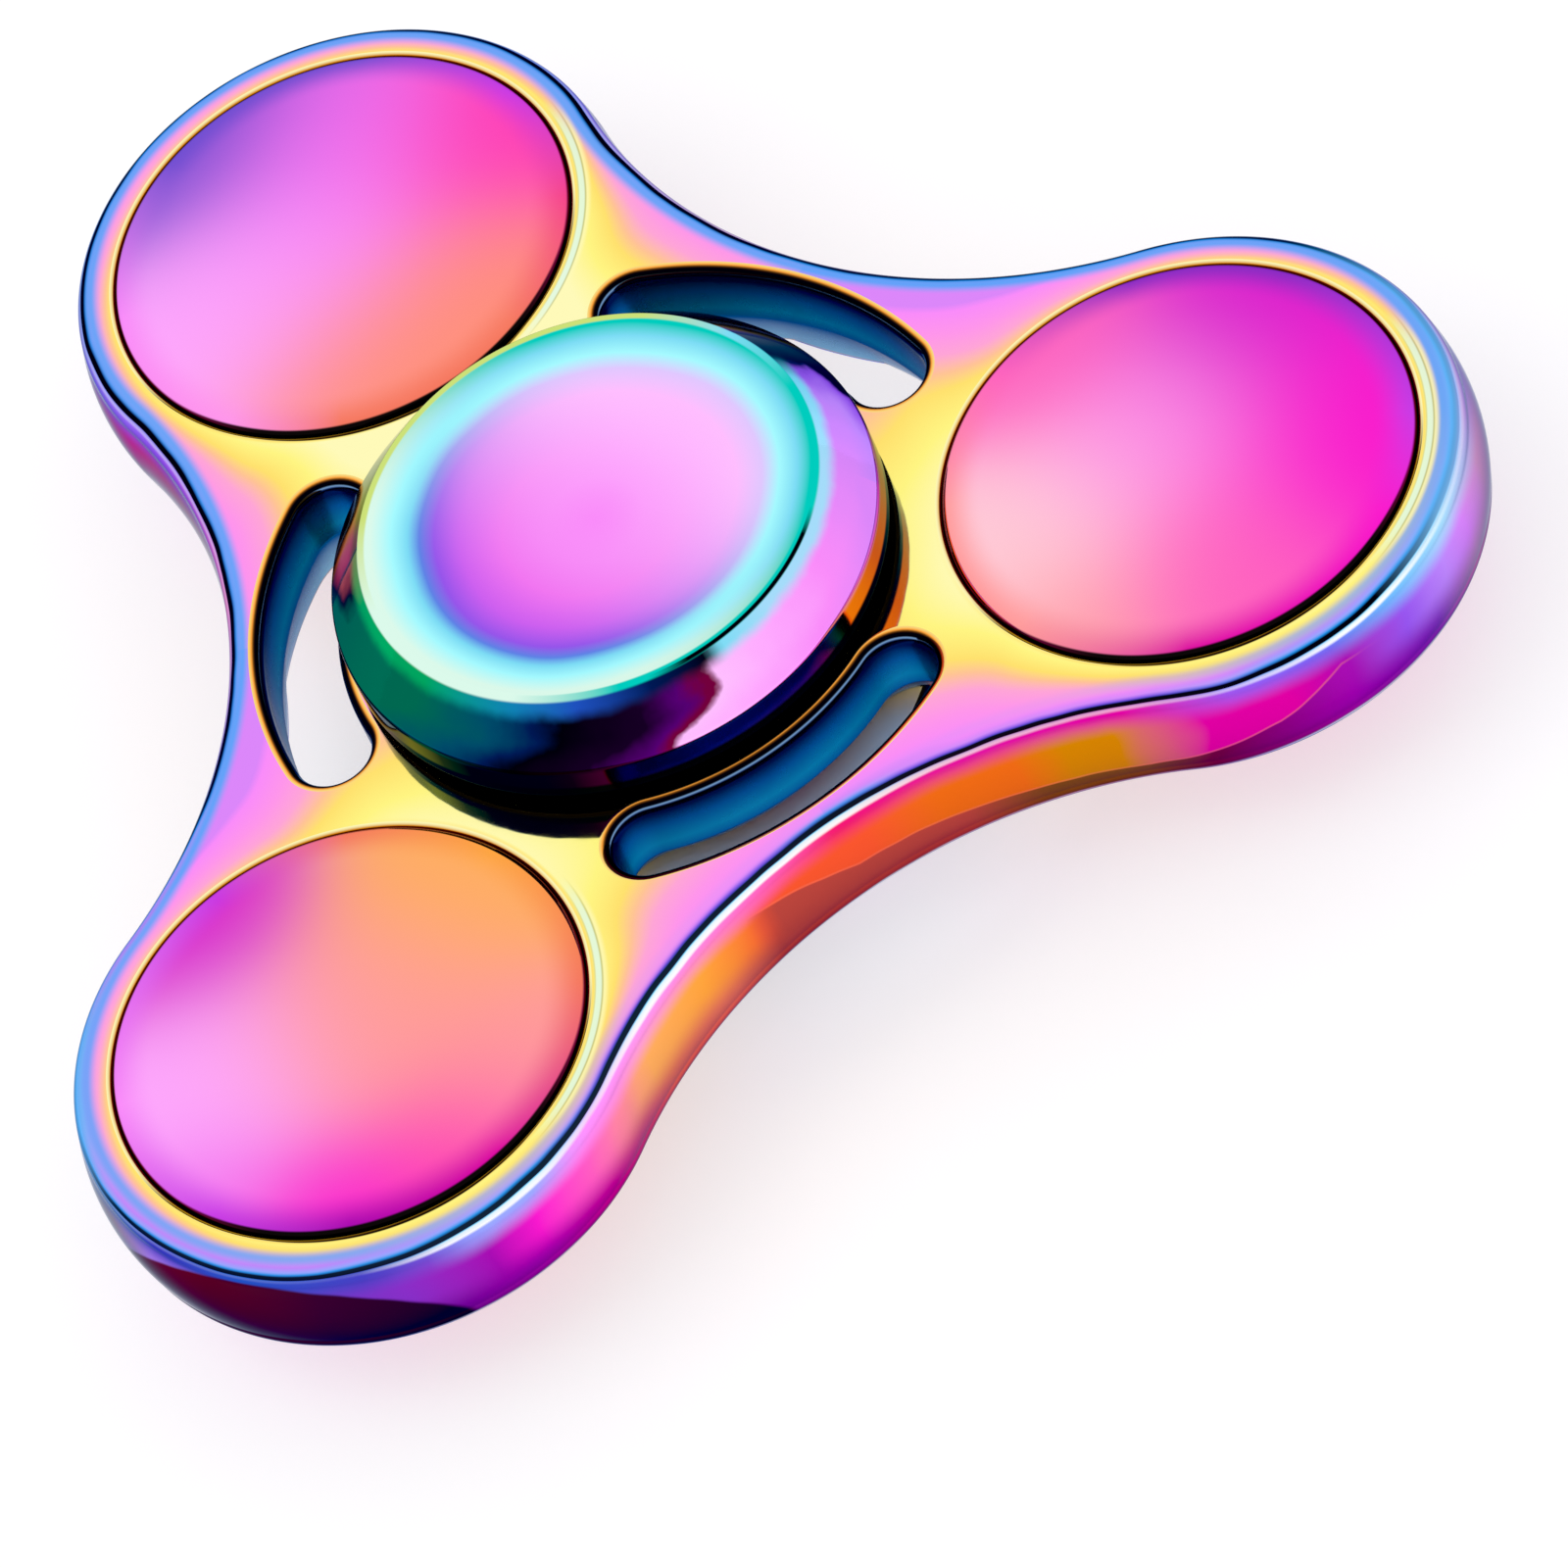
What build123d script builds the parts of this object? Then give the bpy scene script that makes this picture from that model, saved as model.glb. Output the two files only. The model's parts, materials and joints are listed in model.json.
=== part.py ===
"""Three-armed fidget spinner: cast body, three pressed weights, ball bearing and two finger caps.

Millimetres, +Z up. The origin is the centre of the bearing, on the mid-plane of the body, and the
first arm points along +X. The outside below the mid-plane mirrors the outside above it, but for the
slots, which open out towards the underside.
"""

from build123d import *

import os
from math import asin, cos, degrees, pi, radians, sin

# ---- body ------------------------------------------------------------------------------------------
arm_count = 3
arm_length = 22.0              # hub axis to the centre of a lobe
body_thickness = 5.3
lobe_radius = 11.3             # at the widest part of the wall
waist_distance = 16.1          # hub axis to the hollow of the wall between two arms
wall_bulge = 0.25              # how far the middle of the wall stands out past its ends
edge_radius = 0.85             # round-over between a face and the wall
section_width = 2.5            # depth of the edge section that runs round the outline
core_inset = 2.0               # the core starts this far in, inside the edge section

# ---- arc slots round the hub -----------------------------------------------------------------------
slot_radius = 12.9             # hub axis to the middle of a slot's width
slot_width = 3.0
slot_half_angle = 26.0         # from the middle of a slot to the centre of its round end
slot_edge_radius = 0.5         # round-over at the top face
slot_flare_depth = 2.4         # the lowest part of the walls, which slopes outwards
slot_flare_radius = 12.35      # hub axis to the middle of the slot's width at the underside
slot_flare_width = 5.7         # width there

# ---- weights ---------------------------------------------------------------------------------------
pocket_radius = 9.3
pocket_lip_radius = 0.25
disc_edge_radius = 0.3
disc_shoulder = 0.1            # how far the edge of a weight stands above the body's face
disc_dome_height = 0.75        # from that edge to the crown

# ---- bearing, R188 size ----------------------------------------------------------------------------
bearing_bore_radius = 3.175
bearing_outer_radius = 6.35
bearing_width = 4.762
ball_radius = 0.79375
ball_count = 10
running_clearance = 0.02
land_setback = 0.18            # a race's land stands this far short of the ball's own surface line
ring_edge_chamfer = 0.15
body_bore_chamfer = 0.2

shield_thickness = 0.15
shield_depth = 0.48            # end face of a ring to the outside of its shield
shield_seat_radius = 5.8
shield_bore_radius = 4.22
snap_ring_thickness = 0.2
snap_ring_inner_radius = 5.45
snap_groove_radius = 5.95
snap_ring_gap_angle = 24.0
ring_mouth_radius = 5.75

cage_inner_radius = 4.42
cage_outer_radius = 5.10
cage_back_height = 1.25        # ball centres to the closed side of the crown
cage_horn_depth = 0.45         # ball centres to the tips of the horns
cage_notch_width = 0.45
cage_notch_top = 0.35

# ---- finger caps -----------------------------------------------------------------------------------
cap_gap = 0.62                 # body face to the underside of a cap
cap_rim_radius = 10.87
cap_shoulder_height = 2.15     # above the body's face, where the upright rim meets the sloping flank
cap_shoulder_radius = 0.5      # round-over between the two
cap_crest_radius = 9.1
cap_crest_height = 4.35        # above the body's face
cap_crest_edge_radius = 0.1
cap_land_width = 0.3           # flat land on the crest, which the spinner stands on
cap_dish_depth = 0.95
cap_rim_edge_radius = 0.15     # round-over between the rim and the underside
cap_boss_radius = 3.85         # boss that sits on the inner ring
post_half_gap = 0.15           # mid-plane to the end of each post, so that the caps clamp the ring
stud_radius = 1.5
stud_tip_height = 2.9          # above the mid-plane
stud_hole_height = 3.1         # above the mid-plane

# ---- worked out from these -------------------------------------------------------------------------
half_body = body_thickness / 2
half_bearing = bearing_width / 2
wall_end_height = half_body - edge_radius
pitch_radius = (bearing_bore_radius + bearing_outer_radius) / 2
groove_radius = ball_radius + running_clearance
inner_land_radius = pitch_radius - ball_radius + land_setback
outer_land_radius = pitch_radius + ball_radius - land_setback
shield_top = half_bearing - shield_depth
shield_bottom = shield_top - shield_thickness
snap_ring_top = shield_top + snap_ring_thickness
arm_step = 360 / arm_count
ball_step = 360 / ball_count
rim_match = 0.1                # how closely a rim's length picks out the round holes it belongs to

# The hollow between two arms is an arc that touches both lobes. Its centre lies on the line half-way
# between the arms, as much further from a lobe's centre than from the hollow as the lobe is wide.
half_step = radians(arm_step / 2)
waist_gap = waist_distance - lobe_radius
waist_centre = (arm_length**2 - waist_gap**2) / (2 * (arm_length * cos(half_step) - waist_gap))
touch_angle = asin(waist_centre * sin(half_step) / (waist_centre - waist_gap))
lean = degrees(touch_angle) if waist_centre * cos(half_step) > arm_length else 180 - degrees(touch_angle)

os.makedirs("parts", exist_ok=True)


def around_hub(radius, angle):
    """The point at a radius and an angle in degrees about the hub."""
    return Vector(radius, 0, 0).rotate(Axis.Z, angle)


def finish(part, name):
    """Label a finished piece and write its STEP file."""
    part.label = name
    export_step(part, f"parts/{name}.step")


# ---- body: a flat core with one edge section run round its outline ----------------------------------
with BuildLine() as outline:
    for arm in range(arm_count):
        angle = arm * arm_step
        lobe = around_hub(arm_length, angle)
        start = lobe + around_hub(lobe_radius, angle - lean)
        tip = lobe + around_hub(lobe_radius, angle)
        end = lobe + around_hub(lobe_radius, angle + lean)
        next_lobe = around_hub(arm_length, angle + arm_step)
        next_start = next_lobe + around_hub(lobe_radius, angle + arm_step - lean)
        ThreePointArc(start, tip, end)
        ThreePointArc(end, around_hub(waist_distance, angle + arm_step / 2), next_start)

slot_line = CenterArc((0, 0), slot_radius, -slot_half_angle, 2 * slot_half_angle)
flare_line = CenterArc((0, 0), slot_flare_radius, -slot_half_angle, 2 * slot_half_angle)
tip_plane = Plane(origin=(arm_length + lobe_radius, 0, 0), x_dir=(1, 0, 0), z_dir=(0, -1, 0))

with BuildPart() as body:
    with BuildSketch(Plane.XY.offset(-half_body)):
        make_face(outline.edges())
        offset(amount=-core_inset)
    extrude(amount=body_thickness)
    with BuildSketch(tip_plane):
        with BuildLine():
            top = (-wall_bulge - edge_radius, half_body)
            wall_top = (-wall_bulge, wall_end_height)
            wall_bottom = (-wall_bulge, -wall_end_height)
            bottom = (-wall_bulge - edge_radius, -half_body)
            RadiusArc(top, wall_top, edge_radius)
            ThreePointArc(wall_top, (0, 0), wall_bottom)
            RadiusArc(wall_bottom, bottom, edge_radius)
            Polyline(bottom, (-section_width, -half_body), (-section_width, half_body), top)
        make_face()
    sweep(path=outline.wires()[0])
    with BuildSketch(Plane.XY.offset(-half_body)):
        with PolarLocations(arm_length, arm_count):
            Circle(pocket_radius)
        with PolarLocations(0, arm_count, start_angle=arm_step / 2):
            SlotArc(slot_line, slot_width)
        Circle(bearing_outer_radius)
    extrude(amount=body_thickness, mode=Mode.SUBTRACT)
    for arm in range(arm_count):
        underside = Plane.XY.offset(-half_body).rotated((0, 0, (arm + 0.5) * arm_step))
        with BuildSketch(underside):
            SlotArc(flare_line, slot_flare_width)
        with BuildSketch(underside.offset(slot_flare_depth)):
            SlotArc(slot_line, slot_width)
        loft(ruled=True, mode=Mode.SUBTRACT)

    faces = body.faces().filter_by(Plane.XY)
    rims = ShapeList(wire for face in faces for wire in face.inner_wires())
    pocket_rims = rims.filter_by(lambda wire: abs(wire.length - 2 * pi * pocket_radius) < rim_match)
    bore_rims = rims.filter_by(lambda wire: abs(wire.length - 2 * pi * bearing_outer_radius) < rim_match)
    other_rims = rims.filter_by(lambda wire: wire not in pocket_rims and wire not in bore_rims)
    fillet(pocket_rims.edges(), pocket_lip_radius)
    fillet(other_rims.edges().filter_by_position(Axis.Z, 0, half_body), slot_edge_radius)
    chamfer(bore_rims.edges(), body_bore_chamfer)
finish(body.part, "body")

# ---- weights: one-piece plugs, domed on both sides ---------------------------------------------------
disc_rim_height = half_body + disc_shoulder
disc_crown_height = disc_rim_height + disc_dome_height
disc_dome_radius = pocket_radius - disc_edge_radius
rim_bend_start = disc_rim_height - disc_edge_radius

for arm in range(arm_count):
    axis_plane = Plane(origin=around_hub(arm_length, arm * arm_step), x_dir=(1, 0, 0), z_dir=(0, -1, 0))
    with BuildPart() as disc:
        with BuildSketch(axis_plane):
            with BuildLine():
                crown = (0, disc_crown_height)
                rim_inner = (disc_dome_radius, disc_rim_height)
                rim_outer = (pocket_radius, rim_bend_start)
                dome_radius = (disc_dome_radius**2 + disc_dome_height**2) / (2 * disc_dome_height)
                RadiusArc(crown, rim_inner, dome_radius)
                RadiusArc(rim_inner, rim_outer, disc_edge_radius)
                Line(rim_outer, (pocket_radius, 0))
                Polyline((pocket_radius, 0), (0, 0), crown)
            make_face()
        revolve(axis=Axis(axis_plane.origin, (0, 0, 1)))
        mirror(about=Plane.XY)
    finish(disc.part, f"weight_disc_{arm + 1}")

# ---- bearing rings -----------------------------------------------------------------------------------
with BuildPart() as inner_ring:
    with BuildSketch(Plane.XZ):
        with Locations(((bearing_bore_radius + inner_land_radius) / 2, 0)):
            Rectangle(inner_land_radius - bearing_bore_radius, bearing_width)
        with Locations((pitch_radius, 0)):
            Circle(groove_radius, mode=Mode.SUBTRACT)
    revolve(axis=Axis.Z)
    bore_ends = inner_ring.faces().filter_by(Plane.XY).edges().group_by(SortBy.RADIUS)[0]
    chamfer(bore_ends, ring_edge_chamfer)
finish(inner_ring.part, "bearing_inner_ring")

with BuildPart() as outer_ring:
    with BuildSketch(Plane.XZ):
        with BuildLine():
            Polyline(
                (outer_land_radius, 0),
                (outer_land_radius, shield_bottom),
                (shield_seat_radius, shield_bottom),
                (shield_seat_radius, shield_top),
                (snap_groove_radius, shield_top),
                (snap_groove_radius, snap_ring_top),
                (ring_mouth_radius, snap_ring_top),
                (ring_mouth_radius, half_bearing),
                (bearing_outer_radius, half_bearing),
                (bearing_outer_radius, 0),
                close=True,
            )
        make_face()
        mirror(about=Plane.XZ)
        with Locations((pitch_radius, 0)):
            Circle(groove_radius, mode=Mode.SUBTRACT)
    revolve(axis=Axis.Z)
    outer_corners = outer_ring.faces().filter_by(Plane.XY).edges().group_by(SortBy.RADIUS)[-1]
    chamfer(outer_corners, ring_edge_chamfer)
finish(outer_ring.part, "bearing_outer_ring")

# ---- balls and their crown cage ----------------------------------------------------------------------
for ball_index in range(ball_count):
    with BuildPart() as ball:
        with Locations(around_hub(pitch_radius, ball_index * ball_step)):
            Sphere(ball_radius)
    finish(ball.part, f"ball_{ball_index + 1:02d}")

with BuildPart() as cage:
    with BuildSketch(Plane.XY.offset(-cage_horn_depth)):
        Circle(cage_outer_radius)
        Circle(cage_inner_radius, mode=Mode.SUBTRACT)
    extrude(amount=cage_horn_depth + cage_back_height)
    with PolarLocations(pitch_radius, ball_count):
        Sphere(ball_radius + running_clearance, mode=Mode.SUBTRACT)
    with BuildSketch(Plane.XY.offset(-cage_horn_depth)):
        with PolarLocations(pitch_radius, ball_count, start_angle=ball_step / 2):
            Rectangle(2 * (cage_outer_radius - cage_inner_radius), cage_notch_width)
    extrude(amount=cage_horn_depth + cage_notch_top, mode=Mode.SUBTRACT)
finish(cage.part, "ball_cage")

# ---- dust shields and the split rings that hold them --------------------------------------------------
for side, low in (("top", shield_bottom), ("bottom", -shield_top)):
    with BuildPart() as shield:
        with BuildSketch(Plane.XY.offset(low)):
            Circle(shield_seat_radius)
            Circle(shield_bore_radius, mode=Mode.SUBTRACT)
        extrude(amount=shield_thickness)
    finish(shield.part, f"bearing_shield_{side}")

for side, low in (("top", shield_top), ("bottom", -snap_ring_top)):
    with BuildPart() as snap_ring:
        with BuildSketch(Plane.XY.offset(low)):
            Circle(snap_groove_radius)
            Circle(snap_ring_inner_radius, mode=Mode.SUBTRACT)
            with BuildLine():
                half_gap = snap_ring_gap_angle / 2
                reach = 2 * snap_groove_radius
                Polyline((0, 0), around_hub(reach, -half_gap), around_hub(reach, half_gap), close=True)
            make_face(mode=Mode.SUBTRACT)
        extrude(amount=snap_ring_thickness)
    finish(snap_ring.part, f"snap_ring_{side}")


# ---- finger caps -------------------------------------------------------------------------------------
def draw_cap_outside(side):
    """Draw one half of a cap's section from its axis out, round the rim and in to its post."""
    crest = side * (half_body + cap_crest_height)
    shoulder = side * (half_body + cap_shoulder_height)
    underside = side * (half_body + cap_gap)
    seat = side * half_bearing
    post_end = side * post_half_gap
    land_start = cap_crest_radius - cap_land_width
    dish_radius = (land_start**2 + cap_dish_depth**2) / (2 * cap_dish_depth)
    RadiusArc((0, crest - side * cap_dish_depth), (land_start, crest), -side * dish_radius)
    FilletPolyline(
        (land_start, crest),
        (cap_crest_radius, crest),
        (cap_rim_radius, shoulder),
        (cap_rim_radius, underside),
        (cap_boss_radius, underside),
        radius=[cap_crest_edge_radius, cap_shoulder_radius, cap_rim_edge_radius],
    )
    Polyline(
        (cap_boss_radius, underside),
        (cap_boss_radius, seat),
        (bearing_bore_radius, seat),
        (bearing_bore_radius, post_end),
        (stud_radius, post_end),
    )


with BuildPart() as cap_top:
    with BuildSketch(Plane.XZ):
        with BuildLine():
            draw_cap_outside(1)
            Polyline(
                (stud_radius, post_half_gap),
                (stud_radius, stud_hole_height),
                (0, stud_hole_height),
                (0, half_body + cap_crest_height - cap_dish_depth),
            )
        make_face()
    revolve(axis=Axis.Z)
finish(cap_top.part, "finger_cap_top")

with BuildPart() as cap_bottom:
    with BuildSketch(Plane.XZ):
        with BuildLine():
            draw_cap_outside(-1)
            Polyline(
                (stud_radius, -post_half_gap),
                (stud_radius, stud_tip_height),
                (0, stud_tip_height),
                (0, -half_body - cap_crest_height + cap_dish_depth),
            )
        make_face()
    revolve(axis=Axis.Z)
finish(cap_bottom.part, "finger_cap_bottom")
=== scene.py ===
"""The looks of a three-armed fidget spinner: mirror-bright rainbow plating on its body, weights and caps.

The body, the three weights and the two finger caps are smooth meshes, each in place of its CAD node. The
bearing's pieces stay CAD nodes and get steel. Lengths are in millimetres until a mesh is made.
"""

import json
from math import asin, atan2, ceil, cos, degrees, pi, radians, sin, tan

import bmesh
import bpy
import numpy as np
from mathutils import Matrix, Vector
from mathutils.geometry import delaunay_2d_cdt


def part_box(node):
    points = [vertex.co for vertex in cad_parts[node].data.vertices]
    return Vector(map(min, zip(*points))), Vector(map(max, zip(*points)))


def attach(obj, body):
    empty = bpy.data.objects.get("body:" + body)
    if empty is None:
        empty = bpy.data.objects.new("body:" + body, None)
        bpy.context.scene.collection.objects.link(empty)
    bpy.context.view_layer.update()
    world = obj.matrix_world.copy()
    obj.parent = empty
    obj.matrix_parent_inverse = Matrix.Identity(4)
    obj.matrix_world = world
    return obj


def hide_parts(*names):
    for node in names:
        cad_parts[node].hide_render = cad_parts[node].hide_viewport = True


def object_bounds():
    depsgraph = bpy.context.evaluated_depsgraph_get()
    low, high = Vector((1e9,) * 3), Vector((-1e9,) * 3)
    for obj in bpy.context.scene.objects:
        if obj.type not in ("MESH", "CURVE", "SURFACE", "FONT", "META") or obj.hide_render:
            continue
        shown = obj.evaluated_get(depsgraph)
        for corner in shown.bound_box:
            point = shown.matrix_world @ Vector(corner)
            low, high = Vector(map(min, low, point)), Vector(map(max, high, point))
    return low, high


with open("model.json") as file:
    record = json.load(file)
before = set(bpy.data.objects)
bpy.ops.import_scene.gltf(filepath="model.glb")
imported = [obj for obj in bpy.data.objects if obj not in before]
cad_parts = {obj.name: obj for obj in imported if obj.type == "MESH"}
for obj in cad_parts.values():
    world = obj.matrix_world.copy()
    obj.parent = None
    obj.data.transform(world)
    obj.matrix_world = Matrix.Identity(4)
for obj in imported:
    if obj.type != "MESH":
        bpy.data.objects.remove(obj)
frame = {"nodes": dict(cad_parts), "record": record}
cad_low, cad_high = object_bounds()

MM = 0.001
BODY_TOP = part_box("body")[1] / MM
CAP_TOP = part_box("finger_cap_top")[1] / MM
CAP_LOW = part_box("finger_cap_top")[0] / MM
STUD_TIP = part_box("finger_cap_bottom")[1].z / MM
DISC_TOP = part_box("weight_disc_1")[1] / MM
BEARING_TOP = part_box("bearing_outer_ring")[1] / MM

# ---- sizes, in millimetres ----
ARMS = 3
ARM_STEP = 360 / ARMS
ARM_LENGTH = 22.0
HALF_BODY = BODY_TOP.z
LOBE_RADIUS = BODY_TOP.x - ARM_LENGTH
WAIST_DISTANCE = 16.1
WALL_BULGE = 0.25
EDGE_RADIUS = 0.85
FLAT_START = WALL_BULGE + EDGE_RADIUS  # how far inside the outline the flat face starts

SLOT_RADIUS = 12.9
SLOT_WIDTH = 3.0
SLOT_HALF_ANGLE = 26.0
SLOT_EDGE_RADIUS = 0.5
SLOT_FLARE_DEPTH = 2.4
SLOT_FLARE_RADIUS = 12.35
SLOT_FLARE_WIDTH = 5.7
SLOT_FLARE_REACH = 1.65  # how far it slopes out, in the section that shapes its bends
SLOT_FLARE_BEND = 0.3
SLOT_FLARE_EDGE_RADIUS = 0.12

POCKET_RADIUS = DISC_TOP.x - ARM_LENGTH
POCKET_LIP_RADIUS = 0.25
DISC_EDGE_RADIUS = 0.3
DISC_SHOULDER = 0.1
BORE_RADIUS = BEARING_TOP.x
BORE_EDGE = 0.2

CAP_RADIUS = CAP_TOP.x
CAP_CREST = CAP_TOP.z
CAP_SHOULDER = HALF_BODY + 2.15
CAP_SHOULDER_RADIUS = 0.5
CAP_CREST_RADIUS = 9.1
CAP_LAND_WIDTH = 0.3
CAP_DISH_DEPTH = 0.95
CAP_UNDERSIDE = HALF_BODY + 0.62
CAP_RIM_EDGE_RADIUS = 0.15
CAP_BOSS_RADIUS = 3.85
POST_RADIUS = 3.175
POST_END = CAP_LOW.z
STUD_RADIUS = 1.5
STUD_HOLE_TOP = 3.1
SMALL_EDGE = 0.05  # round-over of the edges that look sharp

# ---- fineness of the meshes ----
TURNS = 288  # points round a turned surface
BEND_STEP = radians(7.5)  # the most that one facet of a round-over turns
EDGE_STEPS = 18
WALL_STEPS = 12  # from the end of the wall to its middle
LOBE_STEPS = 192
WAIST_STEPS = 128
SLOT_ARC_STEPS = 60
SLOT_END_STEPS = 30
DOME_STEPS = 48
BEYOND = 1.0  # length of the straight ends of a profile, which aren't built

# The hollow between two arms is an arc that touches both lobes.
WAIST_GAP = WAIST_DISTANCE - LOBE_RADIUS
HALF_STEP = radians(ARM_STEP / 2)
WAIST_CENTRE = (ARM_LENGTH**2 - WAIST_GAP**2) / (2 * (ARM_LENGTH * cos(HALF_STEP) - WAIST_GAP))
WAIST_RADIUS = WAIST_CENTRE - WAIST_DISTANCE
TOUCH = asin(WAIST_CENTRE * sin(HALF_STEP) / (WAIST_CENTRE - WAIST_GAP))
LEAN = degrees(TOUCH) if WAIST_CENTRE * cos(HALF_STEP) > ARM_LENGTH else 180 - degrees(TOUCH)


# ---- meshes ----
def rotated(vector, angle):
    """A 2-D vector turned by an angle in radians."""
    x, y = vector
    return np.array([x * cos(angle) - y * sin(angle), x * sin(angle) + y * cos(angle)])


def heading(start, end):
    """The unit vector from one point to another."""
    step = np.array(end, float) - np.array(start, float)
    return step / np.linalg.norm(step)


def left_of(direction):
    """A 2-D vector turned a quarter to the left."""
    return np.array([-direction[1], direction[0]])


def about_hub(radius, angle):
    """The point at a radius and an angle in degrees about the hub."""
    return np.array([radius * cos(radians(angle)), radius * sin(radians(angle))])


def lifted(places, height):
    """2-D places at a height."""
    return np.column_stack([places, np.full(len(places), height)])


def rounded(corners, side=1):
    """Points and normals along a profile of (radius, height, fillet) corners. The normals point to the left
    of the way along it, or to the right where side is -1."""
    places = [np.array(corner[:2], float) for corner in corners]
    points = [places[0]]
    normals = [left_of(heading(places[0], places[1]))]
    for before, corner, after, (_, _, radius) in zip(places, places[1:], places[2:], corners[1:-1]):
        ahead = heading(before, corner)
        onward = heading(corner, after)
        turn = atan2(ahead[0] * onward[1] - ahead[1] * onward[0], float(ahead @ onward))
        if radius == 0:
            points.append(corner)
            normals.append(rotated(left_of(ahead), turn / 2))
            continue
        hand = 1 if turn > 0 else -1
        centre = corner - ahead * radius * tan(abs(turn) / 2) + left_of(ahead) * radius * hand
        steps = max(2, ceil(abs(turn) / BEND_STEP))
        for step in range(steps + 1):
            normal = rotated(left_of(ahead), turn * step / steps)
            points.append(centre - normal * radius * hand)
            normals.append(normal)
    points.append(places[-1])
    normals.append(left_of(heading(places[-2], places[-1])))
    return np.array(points), side * np.array(normals)


def arc_corners(start, end, rise):
    """Corners along a shallow arc from the axis, where it is level, to a point: for a dome or a dish."""
    reach = end[0] - start[0]
    radius = (reach**2 + rise**2) / (2 * abs(rise))
    sweep = asin(reach / radius)
    hand = 1 if rise > 0 else -1
    angles = np.linspace(0, sweep, DOME_STEPS + 1)[:-1]
    return [(start[0] + radius * sin(a), start[1] + hand * radius * (1 - cos(a)), 0) for a in angles]


class Skin:
    """A closed surface, gathered from rings of points that carry their own normals."""

    def __init__(self):
        self.points = []
        self.normals = []
        self.faces = []

    def ring(self, points, normals):
        first = len(self.points)
        self.points.extend(points)
        self.normals.extend(normals)
        return list(range(first, len(self.points)))

    def band(self, one, two):
        """Faces between two rings with as many points, or between a ring and a single point."""
        if len(one) == 1 or len(two) == 1:
            point, rim = (one[0], two) if len(one) == 1 else (two[0], one)
            self.faces += [(point, a, b) for a, b in zip(rim, rim[1:] + rim[:1])]
            return
        pairs = zip(one, one[1:] + one[:1], two, two[1:] + two[:1])
        self.faces += [(a, b, d, c) for a, b, c, d in pairs]

    def bands(self, rings):
        for one, two in zip(rings, rings[1:]):
            self.band(one, two)

    def fill(self, rings):
        """Flat faces inside the first ring and outside the others."""
        corners = [corner for ring in rings for corner in ring]
        places = [Vector(self.points[corner][:2]) for corner in corners]
        areas = []
        for ring in rings:
            first = sum(len(area) for area in areas)
            areas.append(list(range(first, first + len(ring))))
        inside_the_rings = 1
        merge_distance = 1e-6
        made = delaunay_2d_cdt(places, [], areas, inside_the_rings, merge_distance)
        _, _, triangles, origins, _, covered = made
        for triangle, found in zip(triangles, covered):
            if list(found) == [0]:
                self.faces.append(tuple(corners[origins[corner][0]] for corner in triangle))

    def turned(self, profile, centre=(0.0, 0.0)):
        """Rings made by turning a profile of (radius, height) about an upright axis."""
        angles = np.arange(TURNS) * 2 * pi / TURNS
        around = np.stack([np.cos(angles), np.sin(angles)], 1)
        rings = []
        for (radius, height), (out, up) in zip(*profile):
            if radius < SMALL_EDGE / 10:
                rings.append(self.ring([(centre[0], centre[1], height)], [(0, 0, 1 if up > 0 else -1)]))
                continue
            places = lifted(around * radius + np.array(centre), height)
            rings.append(self.ring(places, lifted(around * out, up)))
        self.bands(rings)
        return rings

    def piece(self, name, node, body, slot, material):
        """The finished object, which stands for a CAD node and rides on its body."""
        mesh = bpy.data.meshes.new(name)
        points = np.array(self.points) * MM
        normals = np.array(self.normals)
        normals /= np.linalg.norm(normals, axis=1)[:, None]
        mesh.from_pydata(points.tolist(), [], self.faces)
        face_outwards(mesh, normals)
        mesh.shade_smooth()
        mesh.normals_split_custom_set_from_vertices(normals.tolist())
        mesh.materials.append(material)
        made = bpy.data.objects.new(name, mesh)
        bpy.context.scene.collection.objects.link(made)
        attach(made, body)
        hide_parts(node)


def face_outwards(mesh, normals):
    """Turns over the faces that look the other way from the normals of their corners."""
    shape = bmesh.new()
    shape.from_mesh(mesh)
    shape.normal_update()
    wrong = []
    for face in shape.faces:
        outward = sum((Vector(normals[corner.index]) for corner in face.verts), Vector())
        if face.normal.dot(outward) < 0:
            wrong.append(face)
    bmesh.ops.reverse_faces(shape, faces=wrong)
    shape.to_mesh(mesh)
    shape.free()


def outline():
    """Points and outward normals round the widest part of the body."""
    points = []
    normals = []
    for arm in range(ARMS):
        lobe = about_hub(ARM_LENGTH, arm * ARM_STEP)
        for angle in np.linspace(-LEAN, LEAN, LOBE_STEPS, endpoint=False):
            normal = about_hub(1, arm * ARM_STEP + angle)
            points.append(lobe + normal * LOBE_RADIUS)
            normals.append(normal)
        hollow = about_hub(WAIST_CENTRE, (arm + 0.5) * ARM_STEP)
        half_span = LEAN - ARM_STEP / 2
        for angle in np.linspace(half_span, -half_span, WAIST_STEPS, endpoint=False):
            normal = about_hub(1, (arm + 0.5) * ARM_STEP + angle)
            points.append(hollow - normal * WAIST_RADIUS)
            normals.append(normal)
    return np.array(points), np.array(normals)


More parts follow.
